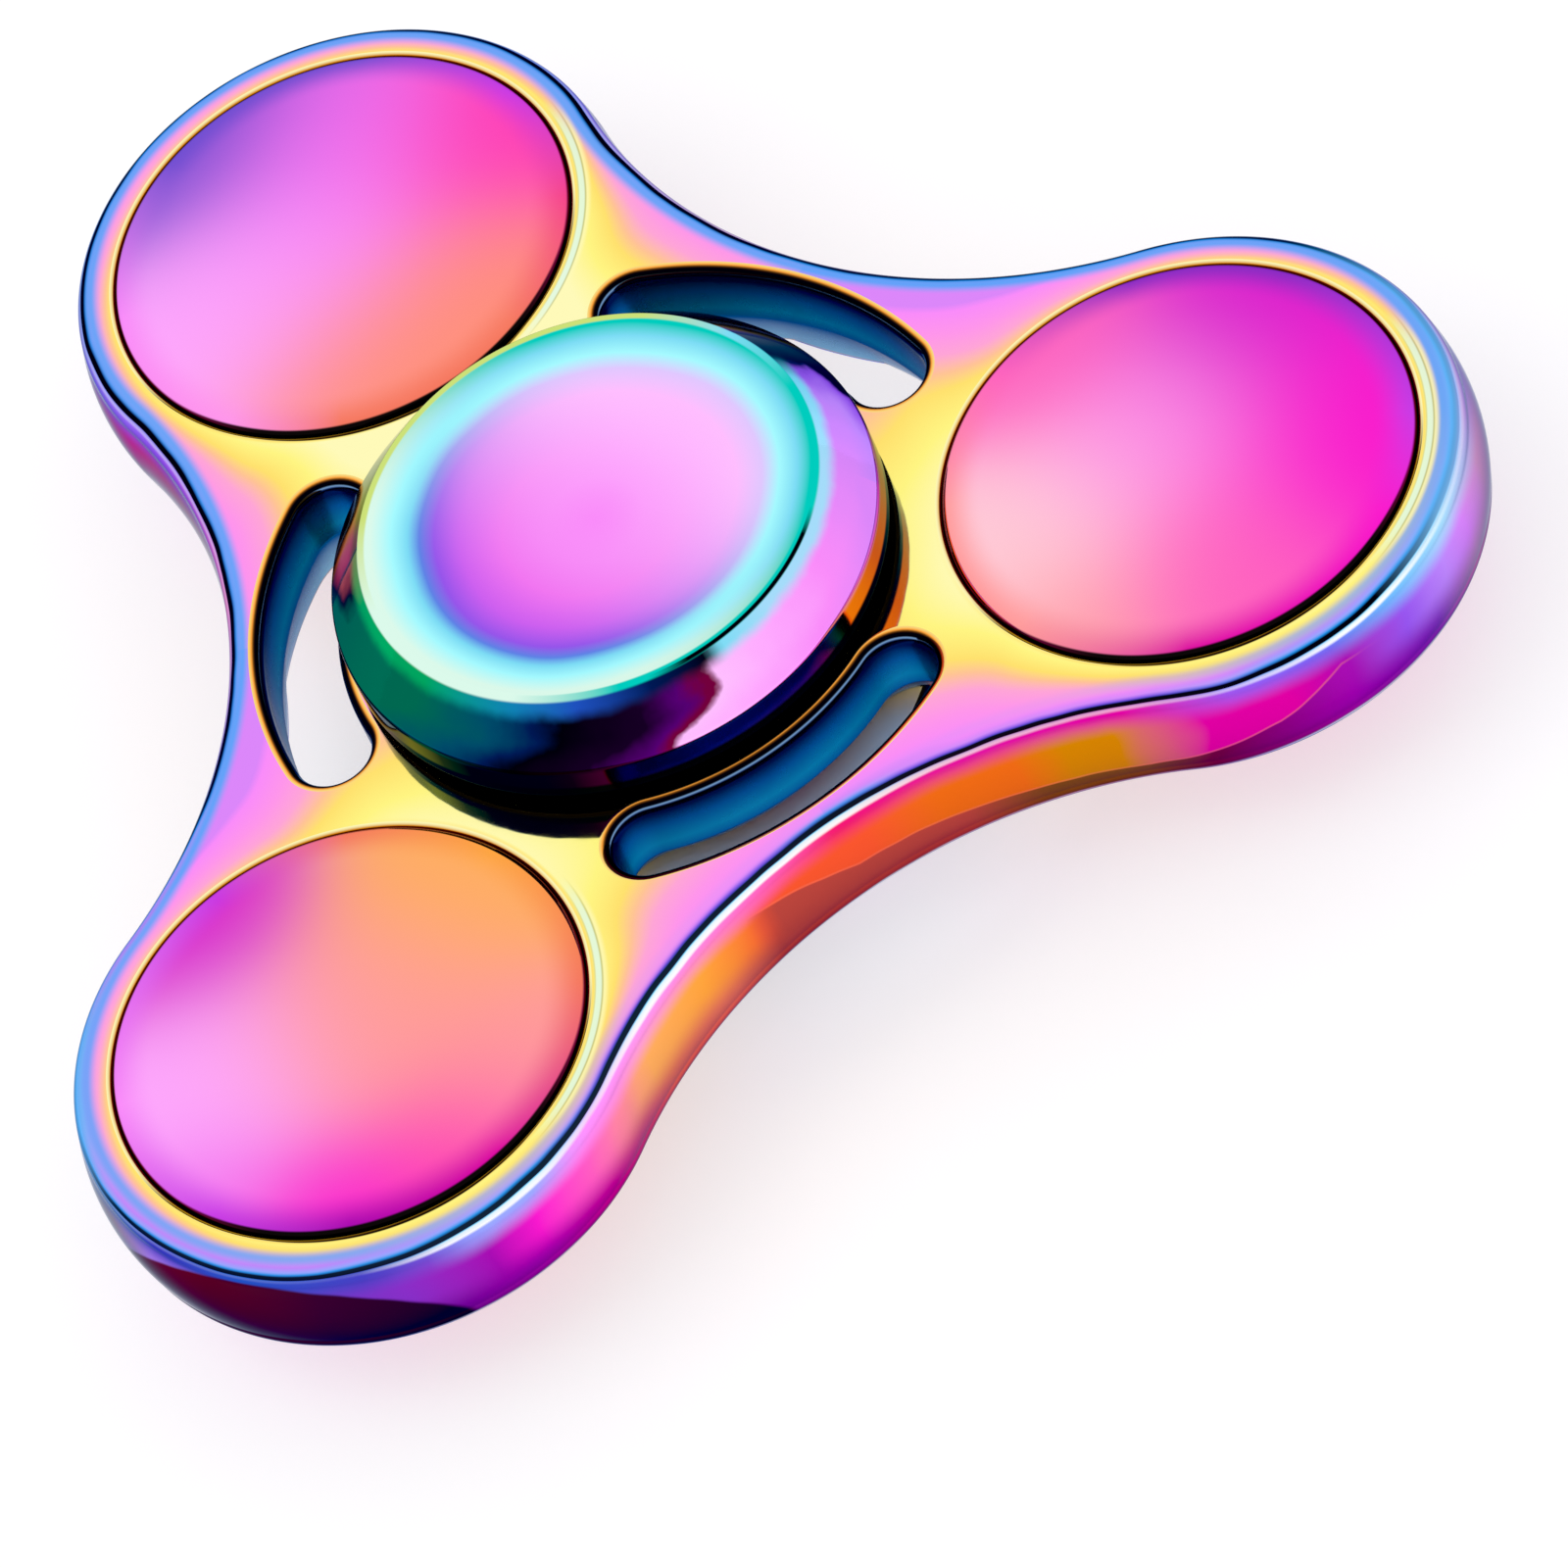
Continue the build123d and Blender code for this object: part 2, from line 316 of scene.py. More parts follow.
def wall_section():
    """Points from face to face round the edge, as (inset, height) and a normal as (outward, upward)."""
    wall_end = HALF_BODY - EDGE_RADIUS
    upper = []
    for angle in np.linspace(0, pi / 2, EDGE_STEPS + 1):
        inset = FLAT_START - EDGE_RADIUS * sin(angle)
        upper.append((inset, wall_end + EDGE_RADIUS * cos(angle), sin(angle), cos(angle)))
    wall_radius = (WALL_BULGE**2 + wall_end**2) / (2 * WALL_BULGE)
    for height in np.linspace(wall_end, 0, WALL_STEPS + 1)[1:]:
        tilt = asin(height / wall_radius)
        upper.append((wall_radius * (1 - cos(tilt)), height, cos(tilt), sin(tilt)))
    return upper + [(inset, -height, out, -up) for inset, height, out, up in reversed(upper[:-1])]


def add_wall(skin):
    """The outer wall with its two round-overs."""
    places, normals = outline()
    rings = []
    for inset, height, out, up in wall_section():
        rings.append(skin.ring(lifted(places - normals * inset, height), lifted(normals * out, up)))
    skin.bands(rings)
    return rings


def add_bore(skin, radius, edge, centre=(0.0, 0.0)):
    """A round bore right through the body, with a round-over at each face."""
    section = [
        (radius + BEYOND, HALF_BODY, 0),
        (radius, HALF_BODY, edge),
        (radius, -HALF_BODY, edge),
        (radius + BEYOND, -HALF_BODY, 0),
    ]
    points, normals = rounded(section, side=-1)
    return skin.turned((points[1:-1], normals[1:-1]), centre)


def slot_loop(middle, width, turn):
    """Points round a slot at an angle in degrees about the hub, and the normals into the metal."""
    points = []
    normals = []
    for side, first in ((1, 0), (-1, 180)):
        reach = side * SLOT_HALF_ANGLE
        for angle in np.linspace(-reach, reach, SLOT_ARC_STEPS, endpoint=False):
            normals.append(side * about_hub(1, turn + angle))
            points.append(about_hub(middle + side * width / 2, turn + angle))
        end = turn + reach
        for angle in np.linspace(first, first + 180, SLOT_END_STEPS, endpoint=False):
            normals.append(about_hub(1, end + angle))
            points.append(about_hub(middle, end) + normals[-1] * width / 2)
    return np.array(points), np.array(normals)


def clear_of_edge(places, turn):
    """2-D places, moved back to the flat face where they reach the round-over of the hollow at an angle."""
    hollow = about_hub(WAIST_CENTRE, turn)
    away = places - hollow
    distance = np.linalg.norm(away, axis=1)[:, None]
    nearest = WAIST_RADIUS + FLAT_START + SMALL_EDGE
    return hollow + away * np.maximum(distance, nearest) / distance


def measured_normals(rings):
    """Normals of a grid of closed rings, from the points on either side. They point away from the metal."""
    grid = np.array(rings)
    across = np.gradient(grid, axis=0)
    along = np.roll(grid, -1, axis=1) - np.roll(grid, 1, axis=1)
    normals = np.cross(along, across)
    return normals / np.linalg.norm(normals, axis=2)[:, :, None]


def add_slot(skin, turn):
    """A slot right through the body, with walls that slope outwards in their lowest part."""
    flare_start = -HALF_BODY + SLOT_FLARE_DEPTH
    section = [
        (BEYOND, HALF_BODY, 0),
        (0, HALF_BODY, SLOT_EDGE_RADIUS),
        (0, flare_start, SLOT_FLARE_BEND),
        (SLOT_FLARE_REACH, -HALF_BODY, SLOT_FLARE_EDGE_RADIUS),
        (SLOT_FLARE_REACH + BEYOND, -HALF_BODY, 0),
    ]
    steps, _ = rounded(section)
    places, inward = slot_loop(SLOT_RADIUS, SLOT_WIDTH, turn)
    low_places, _ = slot_loop(SLOT_FLARE_RADIUS, SLOT_FLARE_WIDTH, turn)
    grid = []
    for reach, height in steps[1:-1]:
        if height > flare_start:
            grid.append(lifted(places + inward * reach, height))
        else:
            sloped = places + (low_places - places) * reach / SLOT_FLARE_REACH
            grid.append(lifted(clear_of_edge(sloped, turn), height))
    normals = measured_normals(grid)
    normals[0] = (0, 0, 1)
    normals[-1] = (0, 0, -1)
    rings = [skin.ring(points, ring_normals) for points, ring_normals in zip(grid, normals)]
    skin.bands(rings)
    return rings


def body_skin():
    skin = Skin()
    groups = [add_wall(skin)]
    for arm in range(ARMS):
        centre = about_hub(ARM_LENGTH, arm * ARM_STEP)
        groups.append(add_bore(skin, POCKET_RADIUS, POCKET_LIP_RADIUS, centre))
    for arm in range(ARMS):
        groups.append(add_slot(skin, (arm + 0.5) * ARM_STEP))
    groups.append(add_bore(skin, BORE_RADIUS, BORE_EDGE))
    skin.fill([rings[0] for rings in groups])
    skin.fill([rings[-1] for rings in groups])
    return skin


def disc_skin(arm):
    rim = HALF_BODY + DISC_SHOULDER
    crown = DISC_TOP.z
    dome_end = POCKET_RADIUS - DISC_EDGE_RADIUS / 2
    upper = arc_corners((0, crown), (dome_end, rim), rim - crown) + [(POCKET_RADIUS, rim, DISC_EDGE_RADIUS)]
    lower = [(radius, -height, fillet) for radius, height, fillet in reversed(upper)]
    skin = Skin()
    skin.turned(rounded(upper + lower), about_hub(ARM_LENGTH, arm * ARM_STEP))
    return skin


def cap_skin(side):
    """A finger cap with dish, sloping flank, upright rim, boss and post. side is 1 above and -1 below."""
    land_start = CAP_CREST_RADIUS - CAP_LAND_WIDTH
    stud_end = STUD_HOLE_TOP if side > 0 else -STUD_TIP
    corners = arc_corners((0, CAP_CREST - CAP_DISH_DEPTH), (land_start, CAP_CREST), CAP_DISH_DEPTH) + [
        (land_start, CAP_CREST, SMALL_EDGE),
        (CAP_CREST_RADIUS, CAP_CREST, 2 * SMALL_EDGE),
        (CAP_RADIUS, CAP_SHOULDER, CAP_SHOULDER_RADIUS),
        (CAP_RADIUS, CAP_UNDERSIDE, CAP_RIM_EDGE_RADIUS),
        (CAP_BOSS_RADIUS, CAP_UNDERSIDE, SMALL_EDGE),
        (CAP_BOSS_RADIUS, BEARING_TOP.z, SMALL_EDGE),
        (POST_RADIUS, BEARING_TOP.z, SMALL_EDGE),
        (POST_RADIUS, POST_END, SMALL_EDGE),
        (STUD_RADIUS, POST_END, SMALL_EDGE),
        (STUD_RADIUS, stud_end, SMALL_EDGE),
        (0, stud_end, 0),
    ]
    points, normals = rounded(corners)
    skin = Skin()
    skin.turned((points * (1, side), normals * (1, side)))
    return skin


# ---- materials ----
# The colours of the finish, as they look on a screen. Some of them also serve for painted shade, painted
# highlights and painted reflections.
TONES = {
    "white": (255, 255, 255), "pearl": (245, 245, 250), "ice": (230, 250, 255), "black": (0, 0, 8),
    "ink": (22, 0, 36), "near_black": (12, 8, 8), "cream": (255, 250, 185), "lemon": (255, 245, 130),
    "gold": (255, 225, 110), "straw": (250, 220, 130), "old_gold": (190, 150, 20),
    "lime": (205, 225, 120), "khaki": (175, 180, 120), "olive": (150, 150, 40), "moss": (60, 60, 10),
    "sage": (150, 165, 140), "amber": (255, 165, 60), "tangerine": (255, 175, 95),
    "orange": (250, 140, 20), "burnt_orange": (235, 105, 20), "ochre": (210, 130, 0),
    "brown": (130, 75, 20), "umber": (70, 35, 5), "apricot": (255, 195, 150), "peach": (255, 170, 145),
    "melon": (255, 145, 120), "coral": (245, 120, 95), "scarlet": (245, 85, 45), "russet": (185, 70, 60),
    "crimson": (240, 20, 110), "wine": (115, 0, 60), "oxblood": (120, 30, 30), "maroon": (90, 10, 30),
    "dark_plum": (55, 0, 45), "blush": (255, 205, 215), "salmon": (255, 155, 155),
    "pink": (255, 165, 215), "candy": (255, 150, 235), "rose": (255, 100, 190),
    "raspberry": (245, 70, 140), "hot_pink": (255, 60, 180), "hot_magenta": (250, 25, 205),
    "fuchsia": (215, 30, 205), "magenta": (220, 0, 160), "plum": (165, 10, 175), "purple": (120, 20, 155),
    "grape": (85, 0, 115), "pale_orchid": (255, 190, 255), "light_orchid": (255, 170, 255),
    "orchid": (250, 140, 250), "vivid_orchid": (240, 110, 240), "lilac": (220, 135, 250),
    "bright_violet": (205, 95, 240), "pale_lilac": (225, 200, 255), "lavender": (190, 135, 250),
    "electric": (200, 60, 230), "amethyst": (135, 45, 195), "violet": (150, 85, 235),
    "dusk": (115, 80, 210), "periwinkle": (110, 100, 240), "indigo": (70, 60, 190),
    "royal": (30, 80, 190), "haze": (150, 165, 255), "cornflower": (95, 130, 230),
    "mauve": (220, 155, 200), "heather": (195, 160, 225), "beige": (205, 165, 155),
    "midnight": (0, 25, 85), "ocean": (10, 90, 160), "lagoon": (15, 130, 180), "blue": (40, 150, 235),
    "azure": (70, 165, 250), "sky": (105, 185, 250), "pale_sky": (165, 220, 250),
    "steel_blue": (120, 160, 205), "cyan": (125, 220, 245), "aqua": (165, 250, 255),
    "mint": (220, 250, 235), "turquoise": (0, 205, 190), "emerald": (0, 165, 95), "pine": (0, 105, 80),
    "deep_teal": (0, 75, 105),
}
EDGE_TINT = (0.36, 0.44, 0.58, 1.0)  # what metal is tinted with at a glancing angle
NEAR_SIDE = 285  # roughly the way to the camera, in degrees: the near side, where shade is painted round the weights


def light(colour):
    """A colour as linear light, from its name or from its red, green and blue on a screen, 0 to 255."""
    shares = [value / 255 for value in TONES.get(colour, colour)]
    return tuple(s / 12.92 if s <= 0.04045 else ((s + 0.055) / 1.055) ** 2.4 for s in shares)


class Paint:
    """A material whose colour is worked out from where a point lies on the object, in millimetres."""

    def __init__(self, name):
        self.material = bpy.data.materials.new(name)
        self.material.use_nodes = True
        self.nodes = self.material.node_tree.nodes
        self.links = self.material.node_tree.links
        self.shader = self.nodes["Principled BSDF"]
        scaled = self.nodes.new("ShaderNodeVectorMath")
        scaled.operation = "SCALE"
        scaled.inputs["Scale"].default_value = 1 / MM
        self.links.new(self.nodes.new("ShaderNodeTexCoord").outputs["Object"], scaled.inputs[0])
        self.at = scaled.outputs[0]
        split = self.nodes.new("ShaderNodeSeparateXYZ")
        self.links.new(self.at, split.inputs[0])
        self.x, self.y, self.z = split.outputs

    def feed(self, socket, value):
        """Gives a socket a link, a colour or a number."""
        if isinstance(value, bpy.types.NodeSocket):
            self.links.new(value, socket)
        elif isinstance(value, tuple):
            socket.default_value = (*value, 1.0)
        else:
            socket.default_value = value

    def math(self, operation, *values):
        node = self.nodes.new("ShaderNodeMath")
        node.operation = operation
        for socket, value in zip(node.inputs, values):
            self.feed(socket, value)
        return node.outputs[0]

    def add(self, *values):
        total = values[0]
        for value in values[1:]:
            total = self.math("ADD", total, value)
        return total

    def times(self, one, two):
        return self.math("MULTIPLY", one, two)

    def length(self, x, y):
        return self.math("SQRT", self.add(self.times(x, x), self.times(y, y)))

    def degrees(self, x, y):
        """The angle of a point about the axis, from 0 to 360 degrees."""
        turn = self.times(self.math("ARCTAN2", y, x), 180 / pi)
        return self.math("FLOORED_MODULO", turn, 360.0)

    def along(self, x, y, angle):
        """How far a point lies in the direction of an angle."""
        return self.add(self.times(x, cos(radians(angle))), self.times(y, sin(radians(angle))))

    def smooth(self, value, low, high):
        """0 at low and 1 at high, with a smooth step between them. Low may be the larger of the two."""
        node = self.nodes.new("ShaderNodeMapRange")
        node.interpolation_type = "SMOOTHSTEP"
        self.feed(node.inputs["Value"], value)
        numbers = (low, high, 0.0, 1.0) if low < high else (high, low, 1.0, 0.0)
        for key, number in zip(("From Min", "From Max", "To Min", "To Max"), numbers):
            node.inputs[key].default_value = number
        return node.outputs["Result"]

    def follow(self, value, stops):
        """Linear light that follows a value, from stops of (value, light)."""
        low, high = stops[0][0], stops[-1][0]
        span = self.nodes.new("ShaderNodeMapRange")
        self.feed(span.inputs["Value"], value)
        span.inputs["From Min"].default_value = low
        span.inputs["From Max"].default_value = high
        node = self.nodes.new("ShaderNodeValToRGB")
        self.links.new(span.outputs["Result"], node.inputs[0])
        elements = node.color_ramp.elements
        while len(elements) < len(stops):
            elements.new(1.0)
        for element, (where, shade) in zip(elements, stops):
            element.position = (where - low) / (high - low)
            element.color = (*shade, 1.0)
        return node.outputs["Color"]

    def ramp(self, value, stops):
        """Colours that follow a value, from stops of (value, colour)."""
        return self.follow(value, [(where, light(colour)) for where, colour in stops])

    def levels(self, value, stops):
        """Plain numbers from 0 to 1 that follow a value, from stops of (value, number)."""
        return self.follow(value, [(where, (number, number, number)) for where, number in stops])

    def mix(self, share, one, two, blend="MIX"):
        """The first colour where the share is 0, and the second where it is 1."""
        node = self.nodes.new("ShaderNodeMix")
        node.data_type = "RGBA"
        node.blend_type = blend
        self.feed(node.inputs["Factor"], share)
        for name, value in (("A", one), ("B", two)):
            socket = next(s for s in node.inputs if s.name == name and s.type == "RGBA")
            self.feed(socket, light(value) if isinstance(value, str) else value)
        return next(s for s in node.outputs if s.type == "RGBA")

    def noise(self, scale, detail=2.0, roughness=0.5):
        """Noise from 0 to 1, with a scale in cycles for each millimetre."""
        node = self.nodes.new("ShaderNodeTexNoise")
        self.links.new(self.at, node.inputs["Vector"])
        node.inputs["Scale"].default_value = scale
        node.inputs["Detail"].default_value = detail
        node.inputs["Roughness"].default_value = roughness
        return node.outputs["Fac"]

    def wander(self, scale, detail, reach):
        """Noise about 0, as far either way as half the reach."""
        return self.times(self.add(self.noise(scale, detail), -0.5), reach)

    def patches(self, centre, spots):
        """Soft patches of colour about a centre, from (x, y, size, colour), each fading with distance."""
        colour = spots[0][3]
        weights = 0.0
        for x, y, size, tint in spots:
            east = self.math("SUBTRACT", self.x, centre[0] + x)
            north = self.math("SUBTRACT", self.y, centre[1] + y)
            squares = self.add(self.times(east, east), self.times(north, north))
            weight = self.math("EXPONENT", self.times(squares, -1 / size**2))
            weights = self.add(weights, weight)
            colour = self.mix(self.math("DIVIDE", weight, weights), colour, tint)
        return colour

    def finish(self, colour, gloss=0.05, spread=0.03, ripple=0.02):
        """Polished metal of a colour: a little uneven in its gloss, with a faint ripple from polishing."""
        self.feed(self.shader.inputs["Base Color"], colour)
        self.shader.inputs["Metallic"].default_value = 1.0
        self.shader.inputs["Specular Tint"].default_value = EDGE_TINT
        wear = self.smooth(self.noise(0.9, 5.0, 0.6), 0.35, 0.75)
        self.feed(self.shader.inputs["Roughness"], self.math("MULTIPLY_ADD", wear, spread, gloss))
        bump = self.nodes.new("ShaderNodeBump")
        bump.inputs["Strength"].default_value = ripple
        bump.inputs["Distance"].default_value = MM
        self.feed(bump.inputs["Height"], self.noise(0.35, 2.0))
        self.feed(self.shader.inputs["Normal"], bump.outputs["Normal"])
        return self.material


class HubPaint(Paint):
    """Paint that also knows how far a point lies from the spin axis, and its angle about that axis."""

    def __init__(self, name):
        super().__init__(name)
        self.radius = self.length(self.x, self.y)
        self.turn = self.degrees(self.x, self.y)


# ---- the body's plating ----
class BodyPaint(HubPaint):
    """Paint that also knows where a point lies about the weights and inside the outline of the body."""

    def __init__(self, name):
        super().__init__(name)
        self.depth = self.math("SUBTRACT", HALF_BODY, self.math("ABSOLUTE", self.z))
        self.below_top = self.math("SUBTRACT", HALF_BODY, self.z)
        arm_turn = self.times(self.math("ROUND", self.times(self.turn, 1 / ARM_STEP)), radians(ARM_STEP))
        lobe_x = self.times(self.math("COSINE", arm_turn), ARM_LENGTH)
        lobe_y = self.times(self.math("SINE", arm_turn), ARM_LENGTH)
        self.east = self.math("SUBTRACT", self.x, lobe_x)
        self.north = self.math("SUBTRACT", self.y, lobe_y)
        self.from_lobe = self.length(self.east, self.north)
        self.from_pocket = self.math("MAXIMUM", self.add(self.from_lobe, -POCKET_RADIUS), 0.0)
        self.inset = self.inside_outline()
        self.near = self.math("MAXIMUM", self.facing(NEAR_SIDE), 0.0)

    def inside_outline(self):
        """How far a point is inside the outline, with the arms folded onto the half of one above +X."""
        share = self.math("FRACT", self.add(self.times(self.turn, 1 / ARM_STEP), 0.5))
        folded = self.times(self.math("ABSOLUTE", self.add(share, -0.5)), radians(ARM_STEP))
        fold_x = self.times(self.radius, self.math("COSINE", folded))
        fold_y = self.times(self.radius, self.math("SINE", folded))
        hollow = about_hub(WAIST_CENTRE, ARM_STEP / 2)
        from_hollow = self.length(self.add(fold_x, -hollow[0]), self.add(fold_y, -hollow[1]))
        lobe_inset = self.math("SUBTRACT", LOBE_RADIUS, self.from_lobe)
        waist_inset = self.add(from_hollow, -WAIST_RADIUS)
        lobe_turn = self.math("ARCTAN2", fold_y, self.add(fold_x, -ARM_LENGTH))
        on_lobe = self.math("LESS_THAN", lobe_turn, radians(LEAN))
        difference = self.math("SUBTRACT", lobe_inset, waist_inset)
        return self.math("MAXIMUM", self.math("MULTIPLY_ADD", on_lobe, difference, waist_inset), 0.0)

    def facing(self, angle):
        """1 on the side of a weight that lies at an angle, and -1 on the far side."""
        return self.math("DIVIDE", self.along(self.east, self.north, angle), self.add(self.from_lobe, 0.01))


def flat_face(paint):
    """The flat face, whose colour runs from the outer edge, 0, to the rim of a weight, 1."""
    inward = paint.math("DIVIDE", paint.inset, paint.add(paint.inset, paint.from_pocket, 0.01))
    wander = paint.wander(0.09, 2.0, 0.22)
    by_side = paint.times(paint.facing(-50), 0.2)
    by_hub = paint.times(paint.smooth(paint.radius, 17, 12.5), 0.22)
    face = paint.ramp(paint.add(inward, wander, by_side, by_hub, -0.16), [
        (0.0, "lilac"), (0.06, "orchid"), (0.24, "candy"), (0.4, "pink"), (0.53, "apricot"),
        (0.63, "gold"), (0.8, "lemon"), (1.0, "cream"),
    ])
    # Except on the near waist, the blue of the edge spreads a little onto the flat face.
    edge_blue = paint.levels(paint.turn, [
        (0, 0.9), (20, 0.9), (200, 0.9), (250, 0.8), (262, 0.5), (270, 0.1), (330, 0.1), (340, 0.6),
        (360, 0.9),
    ])
    spill = paint.times(edge_blue, paint.smooth(paint.inset, FLAT_START + 0.35, FLAT_START - 0.1))
    return paint.mix(spill, face, "azure")


def shadow_line(paint):
    """The dark bands between a weight and its near side of the pocket: painted shade."""
    return paint.ramp(paint.from_pocket, [
        (0.0, "black"), (0.08, "near_black"), (0.15, "old_gold"), (0.22, "umber"), (0.27, "near_black"),
    ])


def with_pocket_lines(paint, face, shadow):
    """The face with a thin line round each weight: a painted highlight, bright at one side, pale arcs of
    painted reflection beside it, and painted shade, black, at the near side.
    """
    from_pocket = paint.from_pocket
    ring = paint.ramp(from_pocket, [
        (0.0, "umber"), (0.06, "straw"), (0.16, "cream"), (0.28, "gold"), (0.42, "lemon"),
    ])
    reflected_arcs = paint.ramp(from_pocket, [
        (0.28, "cream"), (0.36, "sage"), (0.42, "mint"), (0.6, "mint"), (0.66, "khaki"), (0.72, "cream"),
    ])
    beside = paint.times(paint.smooth(paint.facing(-6), 0.78, 0.93), 0.75)
    face = paint.mix(paint.times(beside, paint.smooth(from_pocket, 0.95, 0.72)), face, reflected_arcs)
    by_side = paint.smooth(paint.facing(-40), -0.9, 0.7)
    face = paint.mix(paint.times(by_side, paint.smooth(from_pocket, 0.45, 0.3)), face, ring)
    face = paint.mix(paint.smooth(from_pocket, 0.07, 0.02), face, "umber")
    shadow_width = paint.times(paint.math("POWER", paint.near, 1.5), 0.36)
    in_shadow = paint.smooth(paint.math("SUBTRACT", shadow_width, from_pocket), 0.0, 0.05)
    return paint.mix(in_shadow, face, shadow)


def distance_past_crease(paint):
    """How far down a point lies past the crease that wanders along the edge, where a black line is painted
    as shade.
    """
    crease = paint.levels(paint.turn, [
        (0, 0.24), (20, 0.2), (200, 0.2), (216, 0.42), (248, 0.40), (258, 0.26), (270, 0.19), (301, 0.25),
        (324, 0.36), (338, 0.37), (352, 0.26), (360, 0.24),
    ])
    return paint.math("SUBTRACT", paint.depth, paint.add(crease, paint.wander(0.35, 1.0, 0.12)))


def above_crease(paint, past_crease):
    """Blue or violet, which runs to black at the crease: painted shade."""
    blue = paint.ramp(past_crease, [
        (-0.42, "lilac"), (-0.3, "lavender"), (-0.2, "haze"), (-0.14, "blue"), (-0.1, "ocean"),
        (-0.08, "black"),
    ])
    violet = paint.ramp(past_crease, [
        (-0.32, "orchid"), (-0.2, "lilac"), (-0.13, "violet"), (-0.09, "indigo"), (-0.07, "black"),
    ])
    blue_share = paint.levels(paint.turn, [
        (0, 1.0), (200, 0.9), (262, 1.0), (268, 0.1), (290, 0.1), (299, 0.9), (306, 0.8), (312, 0.15),
        (332, 0.1), (338, 1.0), (360, 1.0),
    ])
    return paint.mix(blue_share, violet, blue)


def wall_top(paint):
    """The narrow band of the wall below the crease."""
    return paint.ramp(paint.turn, [
        (0, "heather"), (30, "dusk"), (50, "rose"), (75, "pink"), (95, "periwinkle"), (120, "sky"),
        (150, "violet"), (170, "rose"), (195, "lilac"), (212, "pale_sky"), (224, "sky"),
        (228, "steel_blue"), (235, "indigo"), (242, "royal"), (251, "indigo"), (255, "dusk"),
        (258, "haze"), (262, "haze"), (265, "orchid"), (270, "candy"), (287, "rose"), (300, "crimson"),
        (320, "magenta"), (331, "magenta"), (335, "violet"), (340, "periwinkle"), (345, "sky"),
        (351, "pale_sky"), (360, "heather"),
    ])


def wall_middle(paint, ragged):
    """The middle of the wall. A ramp has at most 32 stops, so a second one takes over at 322 degrees."""
    swung = paint.add(paint.turn, paint.times(ragged, 6.0))
    # The beige band from 224 to 230 degrees is a painted reflection.
    first = paint.ramp(swung, [
        (0, "mauve"), (12, "lavender"), (28, "magenta"), (42, "burnt_orange"), (62, "scarlet"),
        (78, "amber"), (92, "hot_magenta"), (110, "purple"), (126, "grape"), (146, "magenta"),
        (162, "burnt_orange"), (182, "coral"), (198, "amber"), (212, "pale_sky"), (221, "steel_blue"),
        (224, "beige"), (230, "beige"), (234, "lavender"), (244, "indigo"), (253, "amethyst"),
        (258, "plum"), (262, "hot_magenta"), (266, "rose"), (270, "tangerine"), (278, "amber"),
        (286, "scarlet"), (304, "scarlet"), (314, "burnt_orange"), (322, "burnt_orange"),
    ])
    second = paint.ramp(swung, [
        (322, "burnt_orange"), (326, "ochre"), (329, "ochre"), (332.5, "magenta"), (337, "magenta"),
        (341, "plum"), (345, "violet"), (349, "lavender"), (353, "lilac"), (357, "mauve"), (360, "mauve"),
    ])
    return paint.mix(paint.math("GREATER_THAN", swung, 322.0), first, second)


def wall_foot(paint):
    # The beige band from 224 to 230 degrees is a painted reflection.
    return paint.ramp(paint.turn, [
        (0, "mauve"), (15, "amethyst"), (50, "russet"), (85, "plum"), (120, "grape"), (165, "russet"),
        (200, "coral"), (216, "steel_blue"), (224, "beige"), (230, "beige"), (236, "amethyst"),
        (255, "purple"), (261, "plum"), (266, "magenta"), (271, "coral"), (279, "coral"), (287, "russet"),
        (316, "russet"), (324, "brown"), (330, "brown"), (333, "wine"), (340, "plum"), (347, "amethyst"),
        (353, "mauve"), (360, "mauve"),
    ])


def wall(paint, top):
    """The wall below the crease: its top band, its middle and its foot."""
    ragged = paint.wander(0.2, 2.0, 0.6)
    down = paint.add(paint.below_top, ragged)
    colour = paint.mix(paint.smooth(down, 0.6, 1.7), top, wall_middle(paint, ragged))

    # On the near waist the bright colours end at a crisp line, and elsewhere they fade to the foot.
    crisp = paint.levels(paint.turn, [(0, 0.0), (284, 0.0), (288, 1.0), (340, 1.0), (342, 0.0), (360, 0.0)])
    shore = paint.levels(paint.turn, [
        (0, 0.6), (284, 0.24), (301, 0.56), (324, 0.7), (331, 0.76), (336, 0.6), (340, 0.34), (360, 0.6),
    ])
    off_shore = paint.math("SUBTRACT", down, paint.times(shore, 5.0))
    faded = paint.smooth(down, 2.3, 4.1)
    cut = paint.smooth(off_shore, 0.0, 0.1)
    colour = paint.mix(paint.mix(crisp, faded, cut), colour, wall_foot(paint))
    foam = paint.smooth(paint.math("ABSOLUTE", off_shore), 0.08, 0.02)
    colour = paint.mix(paint.times(foam, paint.times(crisp, 0.35)), colour, "coral")
    colour = with_dark_reflection(paint, colour, down)
    # Painted shade: the wall is darker towards its lower edge.
    return paint.mix(paint.smooth(down, 3.8, 5.1), colour, "mauve", blend="MULTIPLY")


def with_dark_reflection(paint, colour, down):
    """A painted reflection of something dark on the outer side of the third lobe, with a round top."""
    middle, half_span = 242.0, 13.7
    foot, height = 5.0, 4.15
    across = paint.times(paint.add(paint.turn, -middle), 1 / half_span)
    up = paint.times(paint.add(down, -foot), 1 / height)
    dark_reflection = paint.ramp(paint.turn, [
        (228, "brown"), (233, "oxblood"), (239, "maroon"), (247, "dark_plum"), (256, "ink"),
    ])
    return paint.mix(paint.smooth(paint.length(across, up), 1.02, 0.98), colour, dark_reflection)


